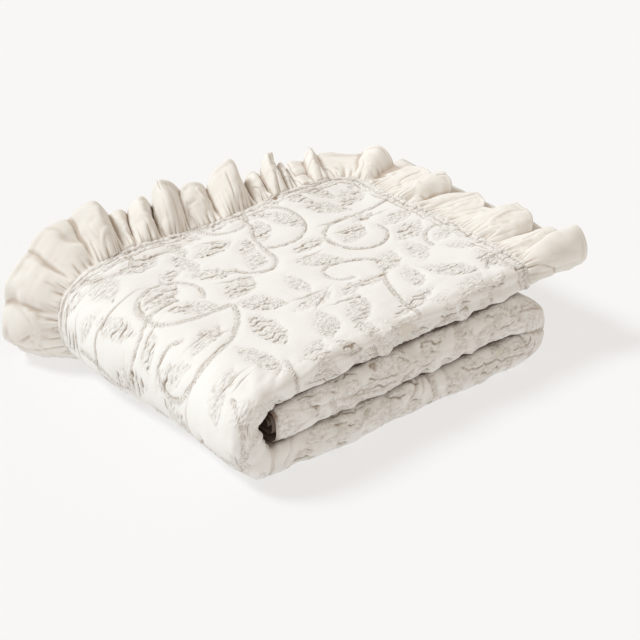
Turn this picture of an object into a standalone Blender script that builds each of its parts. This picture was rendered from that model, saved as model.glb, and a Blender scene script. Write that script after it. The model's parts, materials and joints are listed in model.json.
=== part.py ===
"""A ruffled cotton throw, folded into a pack that lies on a table.

The throw is one thick woven panel with a gathered ruffle sewn to its edges. It is first folded
lengthways into six plies, one cross-section that runs back and forth between the near fold edges
and the far edge. That strip is then rolled into three bands: a top run, a wide C bend on the
left that closes round the inner end, a bottom run, a tighter bend on the right and a middle run.

A place on the cloth is given by two lengths: s along the strip, from the end that lies on top, and
t across it, from the outer side edge. cloth_point() turns them into a place in space. Below zero
they reach past the cloth's edge, which is where the ruffle lies. Lengths are in metres, +Z is up,
and X runs along the pack, from the C bend to the right-hand bend.
"""
import math

import bmesh
import bpy
import numpy as np

MM = 0.001
TINY = 1e-9

# Driving dimensions of the folded pack
PACK_LENGTH = 394 * MM
PACK_DEPTH = 288 * MM
PLY_PITCH = 5.95 * MM
PLIES = 6
CLOTH = 2.8 * MM
TOP_END_INSET = 13 * MM
INNER_END_X = 46 * MM
CORNER_RADIUS = 34 * MM

# The ruffle's cut width, its thickness, and the stitched line's clearance to the panel
RUFFLE_WIDTH = 70 * MM
RUFFLE_CLOTH = 1.5 * MM
SEAM_GAP = 0.35 * MM

# Sizes that follow from them
BAND = PLIES * PLY_PITCH
OUTER_LEVEL = PLY_PITCH * (PLIES - 1) / 2
HALF_BAND = OUTER_LEVEL + CLOTH / 2
C_BEND_X = BAND + HALF_BAND
RIGHT_BEND_X = PACK_LENGTH - BAND / 2 - HALF_BAND
TOP_END_X = PACK_LENGTH - TOP_END_INSET

# Folds across the strip, in the order in which the cloth meets them: the side they lie on, half
# the height they span in plies, the way they turn, and how far they lie behind the pack's face
CROSS_FOLDS = (
    # side, half height, turn, tuck in mm, cells
    ("near", 2.5, 1, 0.0, 3),
    ("far", 0.5, 1, 7.0, 4),
    ("near", 1.5, -1, 5.9, 2),
    ("far", 0.5, -1, 9.0, 4),
    ("near", 0.5, 1, 11.8, 4),
)
FOLD_SQUARENESS = 0.68
PLY_CELLS = (7, 3, 3, 3, 3, 3)

# Waves of the ruffle that shows. "at" is the length along the panel's edge from the back corner,
# minus along the end edge. The strip leaves its seam at one slope and reaches its hem at another,
# both counted from the cloth's own plane. "lean" is how far the hem is pushed along the edge, and
# "width" is the share of the cut width that the gathers leave
TOP_WAVES = (
    # at, slope at the root, slope at the hem in degrees, lean in mm, width
    (-300, -2, 0, 0, 0.80),
    (-286, 22, 0, -4, 1.00),
    (-266, 30, -6, -12, 1.04),
    (-253, -2, 0, -18, 0.86),
    (-234, 12, 0, -16, 0.84),
    (-209, -3, 0, -12, 0.62),
    (-172, 42, -8, -28, 0.80),
    (-154, 10, 0, -26, 0.74),
    (-136, -2, 0, -14, 0.64),
    (-110, 4, 0, -22, 0.80),
    (-98, 14, -6, -27, 0.80),
    (-91, -3, 0, -12, 0.60),
    (-74, 42, -10, -16, 0.74),
    (-56, 10, 0, -16, 0.68),
    (-42, 14, 0, -12, 0.72),
    (-31, 10, 0, -8, 0.68),
    (-24, -4, 0, 0, 0.55),
    (-17, 42, 6, 8, 0.64),
    (-6, 4, 4, 4, 0.72),
    (8, 2, 6, 0, 0.76),
    (20, -2, 8, -6, 0.74),
    (28, 34, 0, -18, 0.76),
    (34, 44, -8, -24, 0.72),
    (43, -4, 10, -22, 0.62),
    (54, 18, 0, -18, 0.66),
    (64, -4, 4, -18, 0.60),
    (72, 32, 0, -18, 0.64),
    (77, 0, 10, -18, 0.62),
    (83, 50, 6, -20, 0.78),
    (91, 54, 10, -19, 0.76),
    (99, -2, 12, -18, 0.64),
    (110, 36, -6, -18, 0.68),
    (120, -4, 6, -16, 0.58),
    (140, 68, 8, -18, 0.86),
    (165, 2, 14, -18, 0.72),
    (181, 46, 6, -16, 0.80),
    (206, 26, 28, -20, 0.74),
    (225, 68, 12, -18, 0.94),
    (241, 0, 14, -24, 0.74),
    (256, 60, 8, -20, 0.78),
    (271, 4, 14, -24, 0.78),
    (279, 26, 16, -22, 0.80),
    (287, 4, 30, -20, 0.80),
    (305, 68, 14, -12, 0.94),
    (322, 20, 28, -8, 0.88),
    (334, 44, 10, -2, 0.94),
    (345, 30, 18, 0, 0.88),
    (359, 48, 8, 2, 0.90),
    (372, 34, 16, 0, 0.86),
    (386, 54, 16, 2, 0.92),
    (397, 38, 18, 0, 0.88),
    (408, 32, 10, 2, 0.96),
    (421, 4, 8, 0, 0.94),
    (432, 0, 0, 0, 0.88),
)

# Even waves of the edges that are out of sight: spacing, then the slope of crest and valley
LYING_WAVES = (26 * MM, -6.6, 0.4)
RISING_WAVES = (26 * MM, 4.1, -3.3)
INNER_WAVES = (27 * MM, 3.7, -3.7)
TUCKED_WAVES = (70 * MM, 0.57, -0.57)

# The second ply's end edge begins behind the near fold, and the inner ruffle past the corner
BELOW_FOLD = 324 * MM
INNER_START = 8 * MM
RUFFLE_BREAK = 2 * MM

# How broad crests are beside valleys, and how rows and lean gather towards the seam and the hem
CREST_POWER = 0.7
ROW_POWER = 1.15
LEAN_POWER = 1.3

# Places where the pack stands higher or lower than a flat one, as smooth round swellings
SWELLINGS = (
    # x, y, rise of the top in mm, radius in mm
    (98, 296, 6.0, 42),
    (196, 292, -1.5, 38),
    (300, 290, 4.5, 42),
    (352, 236, -5.0, 48),
    (150, 150, 2.0, 90),
    (300, 90, -2.0, 70),
    (60, 60, -1.5, 60),
)

# How far each band's near fold edge stands out or back along the pack
NEAR_EDGE = (
    # x in mm, bottom, middle and top band in mm
    (0, 0.0, 0.0, -1.0),
    (70, -3.0, -4.0, -7.0),
    (140, -1.0, -5.0, -11.0),
    (215, -2.0, -2.0, -14.0),
    (290, 1.0, -4.0, -16.0),
    (394, 2.0, 0.0, -20.0),
)

# The near edge is pressed down by a share, the free end's plies spread, and the left bend bulges
NEAR_SINK = 0.04
NEAR_SINK_FROM = -10 * MM
NEAR_SINK_WIDTH = 75 * MM
END_SPREAD = 0.16
EDGE_PULL_WIDTH = 70 * MM
BULGE = 2.5 * MM
BULGE_WIDTH = 80 * MM
BULGE_SPACING = 190 * MM
BULGE_PHASE = 0.1

# Heights of the bands' lower faces in an even pack, and where they lie in this one
BAND_HEIGHTS = (
    # even, real in mm
    (0.0, 0.0),
    (35.7, 38.0),
    (71.4, 77.0),
    (103.7, 104.0),
    (203.7, 204.0),
)


def walk(start, sections):
    """Chain of runs and bends that starts at a place with its heading at 180 degrees.

    A section is (length, turn in degrees, cells). Each row of the result holds the section's
    start length, its place, its heading and its turn per metre.
    """
    rows = []
    at, place, heading = 0.0, np.array(start, float), math.pi
    for length, turn, _ in sections:
        rate = math.radians(turn) / length
        rows.append((at, place[0], place[1], heading, rate))
        place = place + advance(heading, rate, length)
        heading += math.radians(turn)
        at += length
    return np.array(rows)


def advance(heading, rate, length):
    """Step along an arc: the chord runs at the mean heading, and a straight run has no turn."""
    half_turn = rate * length / 2
    chord = length * np.sinc(half_turn / math.pi)
    return np.stack([chord * np.cos(heading + half_turn), chord * np.sin(heading + half_turn)])


def trace(rows, at):
    """Places and headings at the given lengths; past either end the line goes on straight."""
    index = np.clip(np.searchsorted(rows[:, 0], at, side="right") - 1, 0, len(rows) - 1)
    begin, first, second, heading, rate = rows[index].T
    step = advance(heading, rate, at - begin)
    return first + step[0], second + step[1], heading + rate * (at - begin)


def stations(sections):
    """Lengths at which the cloth has a row of points: each section cut into its cells."""
    marks = [0.0]
    for length, _, cells in sections:
        marks.extend(marks[-1] + length * (np.arange(cells) + 1) / cells)
    return np.array(marks)


def strip_sections():
    """Runs and bends of the strip, from the end on top to the end inside the C bend."""
    return (
        (TOP_END_X - C_BEND_X, 0, 8),
        (math.pi * BAND, 180, 9),
        (RIGHT_BEND_X - C_BEND_X, 0, 4),
        (math.pi * BAND / 2, 180, 6),
        (RIGHT_BEND_X - INNER_END_X, 0, 4),
    )


def cross_sections():
    """Runs and bends across the strip, from the outer side edge through the six plies.

    A fold taller than one ply has two rounded corners with a short straight face between them.
    """
    sections = []
    y = PACK_DEPTH
    for (side, half_plies, turn, tuck, cells), ply_cells in zip(CROSS_FOLDS, PLY_CELLS):
        half_height = half_plies * PLY_PITCH
        radius = max(FOLD_SQUARENESS * half_height, PLY_PITCH / 2)
        if side == "near":
            centre = CLOTH / 2 + tuck * MM + radius
        else:
            centre = PACK_DEPTH - tuck * MM - radius
        sections.append((abs(centre - y), 0, ply_cells))
        face = 2 * (half_height - radius)
        if face > 0:
            sections.append((math.pi / 2 * radius, 90 * turn, cells))
            sections.append((face, 0, 1))
            sections.append((math.pi / 2 * radius, 90 * turn, cells))
        else:
            sections.append((math.pi * radius, 180 * turn, cells))
        y = centre
    sections.append((PACK_DEPTH - y, 0, PLY_CELLS[-1]))
    return sections


STRIP = strip_sections()
CROSS = cross_sections()
STRIP_LINE = walk((TOP_END_X, HALF_BAND + 2 * BAND), STRIP)
CROSS_LINE = walk((PACK_DEPTH, OUTER_LEVEL), CROSS)
STRIP_LENGTH = sum(row[0] for row in STRIP)
CROSS_LENGTH = sum(row[0] for row in CROSS)


def cloth_point(s, t, lift=0.0):
    """Place of the cloth at lengths s and t, raised by lift from its own plane.

    The cross-section gives y and a level, both moved by lift along its right-hand normal. The
    strip then carries that level along its own right-hand normal in the x and z plane.
    """
    y, level, heading = trace(CROSS_LINE, t)
    y = y + lift * np.sin(heading)
    level = level - lift * np.cos(heading)
    x, z, heading = trace(STRIP_LINE, s)
    return np.stack([x + level * np.sin(heading), y, z - level * np.cos(heading)], axis=-1)


def swell(x, edge, width):
    """Smooth step from 0 to 1 that starts at edge and takes width."""
    f = np.clip((x - edge) / width, 0, 1)
    return f * f * (3 - 2 * f)


def settle(points):
    """Unevenness of real folded cloth, as one smooth change of space for every piece.

    Heights are scaled, so what touches the table stays on it and no ply passes another.
    """
    x, y, z = points.T
    even, real = np.array(BAND_HEIGHTS).T * MM
    scale = np.ones_like(x)
    top = 2 * BAND + 2 * HALF_BAND
    for centre_x, centre_y, rise, radius in SWELLINGS:
        gap = np.hypot(x - centre_x * MM, y - centre_y * MM) / (radius * MM)
        scale += rise * MM / top * np.exp(-gap * gap)
    scale -= NEAR_SINK * (1 - swell(y, NEAR_SINK_FROM, NEAR_SINK_WIDTH))
    spread = END_SPREAD * swell(x, TOP_END_X, RUFFLE_WIDTH) * np.maximum(z - 2 * BAND, 0)

    marks = np.array(NEAR_EDGE, float) * MM
    heights = HALF_BAND + BAND * np.arange(3)
    edges = np.stack([np.interp(x, marks[:, 0], marks[:, k + 1]) for k in range(3)])
    shares = np.maximum(1 - np.abs(z - heights[:, None]) / BAND, 0)
    shares /= np.maximum(shares.sum(axis=0), TINY)
    pull = (1 - swell(y, 0.0, EDGE_PULL_WIDTH)) * (shares * edges).sum(axis=0)
    billow = np.sin(2 * math.pi * (y / BULGE_SPACING + BULGE_PHASE))
    bulge = BULGE * billow * (1 - swell(x, 0.0, BULGE_WIDTH))
    return np.stack([x - bulge, y - pull, np.interp(z, even, real) * scale + spread], axis=-1)


def sheet(name, columns, rows, place, thickness, material, collection):
    """Cloth solid: a grid carried to its place, thickened about its middle, then settled."""
    bm = bmesh.new()
    bmesh.ops.create_grid(bm, x_segments=columns, y_segments=rows, size=0.5)
    across = np.array([vertex.co.x + 0.5 for vertex in bm.verts]) * columns
    along = np.array([vertex.co.y + 0.5 for vertex in bm.verts]) * rows
    points = place(np.rint(across).astype(int), np.rint(along).astype(int))
    for vertex, point in zip(bm.verts, points):
        vertex.co = point
    flat = bpy.data.meshes.new(name + "_flat")
    bm.to_mesh(flat)
    bm.free()

    piece = bpy.data.objects.new(name, flat)
    collection.objects.link(piece)
    wall = piece.modifiers.new("thickness", "SOLIDIFY")
    wall.thickness = thickness
    wall.offset = 0
    wall.use_even_offset = True
    view = bpy.context.evaluated_depsgraph_get()
    solid = bpy.data.meshes.new_from_object(piece.evaluated_get(view))
    solid.name = name
    piece.modifiers.clear()
    piece.data = solid
    bpy.data.meshes.remove(flat)

    settled = settle(read_points(solid))
    settled[:, 2] = np.maximum(settled[:, 2], 0)
    write_points(solid, settled)
    solid.materials.clear()
    solid.materials.append(material)
    solid.shade_smooth()
    solid.set_sharp_from_angle(angle=math.radians(50))
    return piece


def read_points(mesh):
    """Corner places of a mesh as an array with one row each."""
    flat = np.empty(len(mesh.vertices) * 3)
    mesh.vertices.foreach_get("co", flat)
    return flat.reshape(-1, 3)


def write_points(mesh, points):
    """Move a mesh's corners to the given places."""
    mesh.vertices.foreach_set("co", points.ravel())
    mesh.update()


def cotton(name, colour, roughness):
    """Matt cotton cloth of one colour."""
    material = bpy.data.materials.new(name)
    material.use_nodes = True
    shader = material.node_tree.nodes["Principled BSDF"]
    shader.inputs["Base Color"].default_value = (*colour, 1)
    shader.inputs["Roughness"].default_value = roughness
    shader.inputs["Metallic"].default_value = 0
    material.diffuse_color = (*colour, 1)
    return material


def make_panel(material, collection):
    """The woven panel in its folds, with the corner that shows rounded off.

    Inside the corner's square the grid is drawn in to a quarter disc: a point keeps its
    direction from the disc's centre, and its larger coordinate becomes its radius.
    """
    corner = CORNER_RADIUS * np.arange(4) / 3
    s_marks = np.concatenate([corner, stations(STRIP)[1:]])
    t_marks = np.concatenate([corner, stations(CROSS)[1:]])

    def place(i, j):
        s, t = s_marks[i], t_marks[j]
        a = 1 - s / CORNER_RADIUS
        b = 1 - t / CORNER_RADIUS
        inside = (a > 0) & (b > 0)
        far = np.where(inside, np.maximum(a, b) / np.maximum(np.hypot(a, b), TINY), 1)
        s = CORNER_RADIUS * (1 - a * far)
        t = CORNER_RADIUS * (1 - b * far)
        return cloth_point(s, t)

    return sheet("panel", len(s_marks) - 1, len(t_marks) - 1, place, CLOTH, material, collection)


def wave(rows, at):
    """Slopes at root and hem, lean and width at the given lengths along the edge.

    Between two rows the blend is a half cosine. Raised to a power below one, counted from the
    lower row, it makes the crests broad and the valleys between them narrow.
    """
    table = np.array(rows, float) * (MM, 1, 1, MM, 1)
    index = np.clip(np.searchsorted(table[:, 0], at, side="right") - 1, 0, len(table) - 2)
    low, high = table[index], table[index + 1]
    blend = (1 - np.cos(math.pi * np.clip((at - low[:, 0]) / (high[:, 0] - low[:, 0]), 0, 1))) / 2
    climbs = high[:, 1] > low[:, 1]
    blend = np.where(climbs, blend ** CREST_POWER, 1 - (1 - blend) ** CREST_POWER)
    mixed = low + (high - low) * blend[:, None]
    return np.radians(mixed[:, 1]), np.radians(mixed[:, 2]), mixed[:, 3], mixed[:, 4]


def top_edge(at):
    """Edge round the back corner: root lengths s and t, and the way out of the cloth.

    The middle of the corner's arc is at zero, the side edge lies on its plus side and the end
    edge on its minus side.
    """
    half_arc = math.pi * CORNER_RADIUS / 4
    angle = np.clip((at + half_arc) / CORNER_RADIUS, 0, math.pi / 2)
    s = CORNER_RADIUS * (1 - np.cos(angle)) + np.maximum(at - half_arc, 0)
    t = CORNER_RADIUS * (1 - np.sin(angle)) + np.maximum(-at - half_arc, 0)
    return s, t, -np.cos(angle), -np.sin(angle)


def side_edge(at):
    """Outer side edge of the strip, out of the cloth towards plus Y."""
    return at, np.zeros_like(at), np.zeros_like(at), -np.ones_like(at)


def inner_edge(at):
    """Side edge of the sixth ply, out of the cloth towards plus Y."""
    return at, np.full_like(at, CROSS_LENGTH), np.zeros_like(at), np.ones_like(at)


def end_edge(at):
    """End edge on top, at lengths across the strip, out of the cloth towards plus X."""
    return np.zeros_like(at), at, -np.ones_like(at), np.zeros_like(at)


def make_ruffle(name, edge, waves, cells, depth_cells, material, collection):
    """Gathered strip that stands out of an edge, its hem in waves.

    The root lies a seam's gap outside the panel, and further where the cloth stands steep, because
    half its thickness then reaches back. Across the strip the cloth bends evenly from its slope at
    the root to its slope at the hem, so it keeps its width.
    """
    at_marks = [waves[0][0] * MM]
    for low, high in zip(waves, waves[1:]):
        at_marks.extend(low[0] * MM + (high[0] - low[0]) * MM * (np.arange(cells) + 1) / cells)
    at_marks = np.array(at_marks)

    def place(i, j):
        share = (j / depth_cells) ** ROW_POWER
        at = at_marks[i]
        s, t, out_s, out_t = edge(at)
        root_slope, hem_slope, lean, width = wave(waves, at)
        width = RUFFLE_WIDTH * width
        out, lift = advance(root_slope, (hem_slope - root_slope) / width, width * share)
        out = out + SEAM_GAP + RUFFLE_CLOTH / 2 * np.abs(np.sin(root_slope))
        aside = lean * share ** LEAN_POWER
        s = s + out * out_s - aside * out_t
        t = t + out * out_t + aside * out_s
        points = cloth_point(s, t, lift)
        points[:, 2] = np.maximum(points[:, 2], RUFFLE_CLOTH / 2)
        return points

    return sheet(name, len(at_marks) - 1, depth_cells, place, RUFFLE_CLOTH, material, collection)


def even_waves(start, end, spacing, crest, valley):
    """Table of waves where none shows: evenly spaced, with some play in place and slope."""
    count = 2 * round((end - start) / spacing / 2)
    rows = []
    for k in range(count + 1):
        play = math.sin(2.4 * k) if 0 < k < count else 0
        at = start + (end - start) * (k + 0.25 * play) / count
        slope = valley if k % 2 else crest * (0.75 + 0.25 * math.cos(1.7 * k))
        rows.append((at / MM, slope, slope, 0, 0.9 + 0.04 * math.cos(2.1 * k)))
    return rows


def stand_on_origin(pieces):
    """Move every piece so that the middle of the whole box's bottom is the origin."""
    corners = np.concatenate([read_points(piece.data) for piece in pieces])
    low, high = corners.min(axis=0), corners.max(axis=0)
    shift = np.array([(low[0] + high[0]) / 2, (low[1] + high[1]) / 2, low[2]])
    for piece in pieces:
        write_points(piece.data, read_points(piece.data) - shift)


def clear_scene():
    """Remove the objects that a new file starts with."""
    for thing in list(bpy.data.objects):
        bpy.data.objects.remove(thing, do_unlink=True)


def build():
    """Make the panel and its ruffle in their folded places."""
    clear_scene()
    collection = bpy.data.collections.new("cotton_blanket")
    bpy.context.scene.collection.children.link(collection)
    ivory = cotton("ivory_woven_cotton", (0.86, 0.84, 0.79), 0.9)
    natural = cotton("natural_plain_cotton", (0.82, 0.78, 0.71), 0.85)

    c_end = STRIP[0][0] + STRIP[1][0]
    bottom_end = c_end + STRIP[2][0]
    lying = even_waves(c_end + RUFFLE_BREAK, bottom_end, *LYING_WAVES)
    rising = even_waves(bottom_end, STRIP_LENGTH, *RISING_WAVES)
    hidden = even_waves(INNER_START, STRIP_LENGTH, *INNER_WAVES)
    tucked = even_waves(BELOW_FOLD, CROSS_LENGTH, *TUCKED_WAVES)

    pieces = [
        make_panel(ivory, collection),
        make_ruffle("ruffle_top", top_edge, TOP_WAVES, 3, 4, natural, collection),
        make_ruffle("ruffle_base", side_edge, lying + rising[1:], 3, 3, natural, collection),
        make_ruffle("ruffle_inner", inner_edge, hidden, 2, 3, natural, collection),
        make_ruffle("ruffle_end", end_edge, tucked, 3, 3, natural, collection),
    ]
    stand_on_origin(pieces)


build()
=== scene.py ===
# %% [markdown]
# # A folded, ruffled cotton throw
#
# The throw is made of two cloths. The panel is a double weave: its face is puckered into vines and
# leaves, and its back is plain. A gathered strip of thin cotton, the ruffle, is sewn to its edges.
# It lies folded in a pack of three bands. Everything here is worked out with numpy on grids, in
# the lengths of the flat cloth, and only then carried into the folds.

# %% The frame, and the modules that the lesson uses
import json
import math

import bpy
import numpy as np
from mathutils import Matrix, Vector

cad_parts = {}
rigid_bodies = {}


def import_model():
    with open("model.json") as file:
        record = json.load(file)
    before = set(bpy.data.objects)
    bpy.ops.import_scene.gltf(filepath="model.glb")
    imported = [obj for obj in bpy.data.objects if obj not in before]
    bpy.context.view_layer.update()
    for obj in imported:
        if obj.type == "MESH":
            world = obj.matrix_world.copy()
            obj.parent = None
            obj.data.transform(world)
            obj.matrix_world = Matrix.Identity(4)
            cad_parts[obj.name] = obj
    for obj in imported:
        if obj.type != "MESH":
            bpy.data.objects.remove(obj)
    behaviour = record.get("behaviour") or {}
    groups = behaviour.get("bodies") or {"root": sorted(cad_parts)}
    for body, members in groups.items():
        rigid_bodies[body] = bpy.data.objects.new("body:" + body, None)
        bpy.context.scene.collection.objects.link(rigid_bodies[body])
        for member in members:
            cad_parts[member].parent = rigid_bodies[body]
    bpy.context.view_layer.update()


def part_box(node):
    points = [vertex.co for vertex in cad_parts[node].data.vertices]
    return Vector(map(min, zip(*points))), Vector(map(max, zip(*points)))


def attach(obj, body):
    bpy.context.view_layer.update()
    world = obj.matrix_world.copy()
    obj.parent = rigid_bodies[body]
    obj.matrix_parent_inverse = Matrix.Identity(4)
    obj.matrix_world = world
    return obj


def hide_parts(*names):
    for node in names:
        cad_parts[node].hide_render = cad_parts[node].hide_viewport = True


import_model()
MM = 0.001

# %% [markdown]
# ## The folds
#
# A place on the flat cloth is two lengths: s along the folded strip, from the end that lies on
# top, and t across it, from the outer side edge. The cross-section has six plies and is a chain
# of runs and bends in the y and level plane. The strip is another chain, in the x and z plane.
# A chain of arcs is chosen over a free curve because its lengths are exact, so the weave isn't
# stretched anywhere.

# %% Sizes of the folded pack
PACK_LENGTH = 394 * MM
PACK_DEPTH = 288 * MM
PLY_PITCH = 5.95 * MM
PLIES = 6
CLOTH = 2.8 * MM
BAND = PLIES * PLY_PITCH
OUTER_LEVEL = PLY_PITCH * (PLIES - 1) / 2
HALF_BAND = OUTER_LEVEL + CLOTH / 2
C_BEND_X = BAND + HALF_BAND
RIGHT_BEND_X = PACK_LENGTH - BAND / 2 - HALF_BAND
TOP_END_X = PACK_LENGTH - 13 * MM
INNER_END_X = 46 * MM
CORNER_RADIUS = 34 * MM
RUFFLE_WIDTH = 70 * MM
bends = (BAND / MM, C_BEND_X / MM, RIGHT_BEND_X / MM)
print("a band is %.1f mm high; the wide bends turn about x = %.1f and %.1f mm" % bends)

# %% [markdown]
# The cross-section turns at five folds, near and far by turns. Each could be a plain half circle,
# but the tall near ones are squarer on a real pack: two quarter bends with a flat face between
# them. A tuck sets a fold back behind the pack's face, so that the inner plies stay inside.

# %% Folds of the cross-section
CROSS_FOLDS = (
    # side, half height in plies, turn, tuck behind the pack's face in mm
    ("near", 2.5, 1, 0.0),
    ("far", 0.5, 1, 7.0),
    ("near", 1.5, -1, 5.9),
    ("far", 0.5, -1, 9.0),
    ("near", 0.5, 1, 11.8),
)
FOLD_SQUARENESS = 0.68


def strip_sections():
    """Length and turn of each run and bend along the strip."""
    return (
        (TOP_END_X - C_BEND_X, 0),
        (math.pi * BAND, 180),
        (RIGHT_BEND_X - C_BEND_X, 0),
        (math.pi * BAND / 2, 180),
        (RIGHT_BEND_X - INNER_END_X, 0),
    )


def cross_sections():
    """Length and turn of each run and bend across the strip, through its six plies."""
    sections = []
    y = PACK_DEPTH
    for side, half_plies, turn, tuck in CROSS_FOLDS:
        half_height = half_plies * PLY_PITCH
        radius = max(FOLD_SQUARENESS * half_height, PLY_PITCH / 2)
        near = CLOTH / 2 + tuck * MM + radius
        centre = near if side == "near" else PACK_DEPTH - tuck * MM - radius
        sections.append((abs(centre - y), 0))
        face = 2 * (half_height - radius)
        if face > 0:
            corner = (math.pi / 2 * radius, 90 * turn)
            sections += [corner, (face, 0), corner]
        else:
            sections.append((math.pi * radius, 180 * turn))
        y = centre
    sections.append((PACK_DEPTH - y, 0))
    return sections


STRIP = strip_sections()
CROSS = cross_sections()
print("runs and bends: %d along the strip, %d across it" % (len(STRIP), len(CROSS)))

# %% [markdown]
# A place on a chain could be found section by section, each time from the start. It is quicker to
# walk the chain once and keep the start of each section in a table. Whole arrays of lengths are
# then looked up in the table, and one arc is added to each.

# %% Walking a chain of arcs
def advance(heading, rate, length):
    """Step along an arc: its chord is length times sinc of half the turn, at the mean heading."""
    half_turn = rate * length / 2
    chord = length * np.sinc(half_turn / math.pi)
    return np.stack([chord * np.cos(heading + half_turn), chord * np.sin(heading + half_turn)])


def walk(start, sections):
    """Start length, place, heading and turn per metre of each section, one after another."""
    rows = []
    at, place, heading = 0.0, np.array(start, float), math.pi
    for length, turn in sections:
        rate = math.radians(turn) / length
        rows.append((at, place[0], place[1], heading, rate))
        place = place + advance(heading, rate, length)
        heading += math.radians(turn)
        at += length
    return np.array(rows)


def trace(rows, at):
    """Places and headings at the given lengths; past either end the line goes on straight."""
    index = np.clip(np.searchsorted(rows[:, 0], at, side="right") - 1, 0, len(rows) - 1)
    begin, first, second, heading, rate = np.moveaxis(rows[index], -1, 0)
    step = advance(heading, rate, at - begin)
    return first + step[0], second + step[1], heading + rate * (at - begin)


STRIP_LINE = walk((TOP_END_X, HALF_BAND + 2 * BAND), STRIP)
CROSS_LINE = walk((PACK_DEPTH, OUTER_LEVEL), CROSS)
STRIP_LENGTH = sum(row[0] for row in STRIP)
CROSS_LENGTH = sum(row[0] for row in CROSS)
C_BEND_END = STRIP[0][0] + STRIP[1][0]
NEAR_FOLD = CROSS[0][0]
NEAR_FOLD_END = sum(row[0] for row in CROSS[:4])
print("flat panel: %.3f by %.3f m" % (STRIP_LENGTH, CROSS_LENGTH))

# %% [markdown]
# Folded cloth is never even. Each piece could be bent by itself, but neighbours would then pass
# through each other. So space itself is moved a little, and every piece follows it: heights are
# scaled by soft swellings, and each band's near edge stands out or back by its own amount. The
# last step shifts the pack onto the solids' frame.

# %% Unevenness of the pack
SWELLINGS = (
    # x, y, rise of the top in mm, radius in mm
    (98, 296, 6.0, 42),
    (196, 292, -1.5, 38),
    (300, 290, 4.5, 42),
    (352, 236, -5.0, 48),
    (150, 150, 2.0, 90),
    (300, 90, -2.0, 70),
    (60, 60, -1.5, 60),
)
NEAR_EDGE = (
    # x in mm, bottom, middle and top band in mm
    (0, 0.0, 0.0, -1.0),
    (70, -3.0, -4.0, -7.0),
    (140, -1.0, -5.0, -11.0),
    (215, -2.0, -2.0, -14.0),
    (290, 1.0, -4.0, -16.0),
    (394, 2.0, 0.0, -20.0),
)
BAND_HEIGHTS = (
    # even, real in mm
    (0.0, 0.0),
    (35.7, 38.0),
    (71.4, 77.0),
    (103.7, 104.0),
    (203.7, 204.0),
)
PANEL_HIGH = np.array(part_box("panel")[1])
PACK_TO_FRAME = np.array([PANEL_HIGH[0] - PACK_LENGTH, PANEL_HIGH[1] - PACK_DEPTH, 0.0])
print("from the pack's corner to the solids' frame:", PACK_TO_FRAME.round(4))

# %% [markdown]
# The near edge also sags by a few per cent, the plies spread where their ends lie free, and the
# wide bend bulges in and out by 2.5 mm, since no bend of soft cloth is a clean cylinder.

# %% Settling, and the fold itself
NEAR_SAG = 0.04
SAG_FROM = -0.01
SAG_WIDTH = 0.075
END_SPREAD = 0.16
PULL_DEPTH = 0.07
BULGE = 2.5 * MM
BULGE_LENGTH = 0.19
BULGE_PHASE = 0.1
BULGE_REACH = 0.08
NO_WEIGHT = 1e-9


def swell(x, edge, width):
    """Smooth step from 0 to 1 that starts at edge and takes width: 3f² - 2f³."""
    f = np.clip((x - edge) / width, 0, 1)
    return f * f * (3 - 2 * f)


def settle(points):
    """Scale heights by the swellings, spread the free ends and pull the near edges."""
    x, y, z = np.moveaxis(points, -1, 0)
    even, real = np.array(BAND_HEIGHTS).T * MM
    scale = np.ones_like(x)
    top = 2 * BAND + 2 * HALF_BAND
    for centre_x, centre_y, rise, radius in SWELLINGS:
        gap = np.hypot(x - centre_x * MM, y - centre_y * MM) / (radius * MM)
        scale += rise * MM / top * np.exp(-gap * gap)
    scale -= NEAR_SAG * (1 - swell(y, SAG_FROM, SAG_WIDTH))
    spread = END_SPREAD * swell(x, TOP_END_X, RUFFLE_WIDTH) * np.maximum(z - 2 * BAND, 0)
    marks = np.array(NEAR_EDGE, float) * MM
    edge = 0.0
    weight = NO_WEIGHT
    for band in range(3):
        share = np.maximum(1 - np.abs(z - HALF_BAND - BAND * band) / BAND, 0)
        edge = edge + share * np.interp(x, marks[:, 0], marks[:, band + 1])
        weight = weight + share
    pull = 1 - swell(y, 0.0, PULL_DEPTH)
    phase = 2 * math.pi * (y / BULGE_LENGTH + BULGE_PHASE)
    bulge = BULGE * np.sin(phase) * (1 - swell(x, 0.0, BULGE_REACH))
    z = np.interp(z, even, real) * scale + spread
    return np.stack([x - bulge, y - pull * edge / weight, np.maximum(z, 0)], axis=-1)


def fold(s, t, lift=0.0):
    """Place of the cloth at s and t, raised by lift along its own normal, in the solids' frame."""
    y, level, heading = trace(CROSS_LINE, t)
    y = y + lift * np.sin(heading)
    level = level - lift * np.cos(heading)
    x, z, heading = trace(STRIP_LINE, s)
    x, z = x + level * np.sin(heading), z - level * np.cos(heading)
    return settle(np.stack([x, y, z], axis=-1)) + PACK_TO_FRAME


near_corner = fold(np.array([STRIP[0][0]]), np.array([NEAR_FOLD]))[0]
print("top near corner, at the wide bend:", near_corner.round(3))

# %% [markdown]
# ## Noise and soft ridges
#
# Blender's own noise lives in materials, but here noise moves the cloth as well. This is the
# classic kind: random heights on a lattice, blended smoothly. layers() adds up several sizes, and
# ridge() is the soft bump from which creases, furrows and lips are made.

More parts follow.
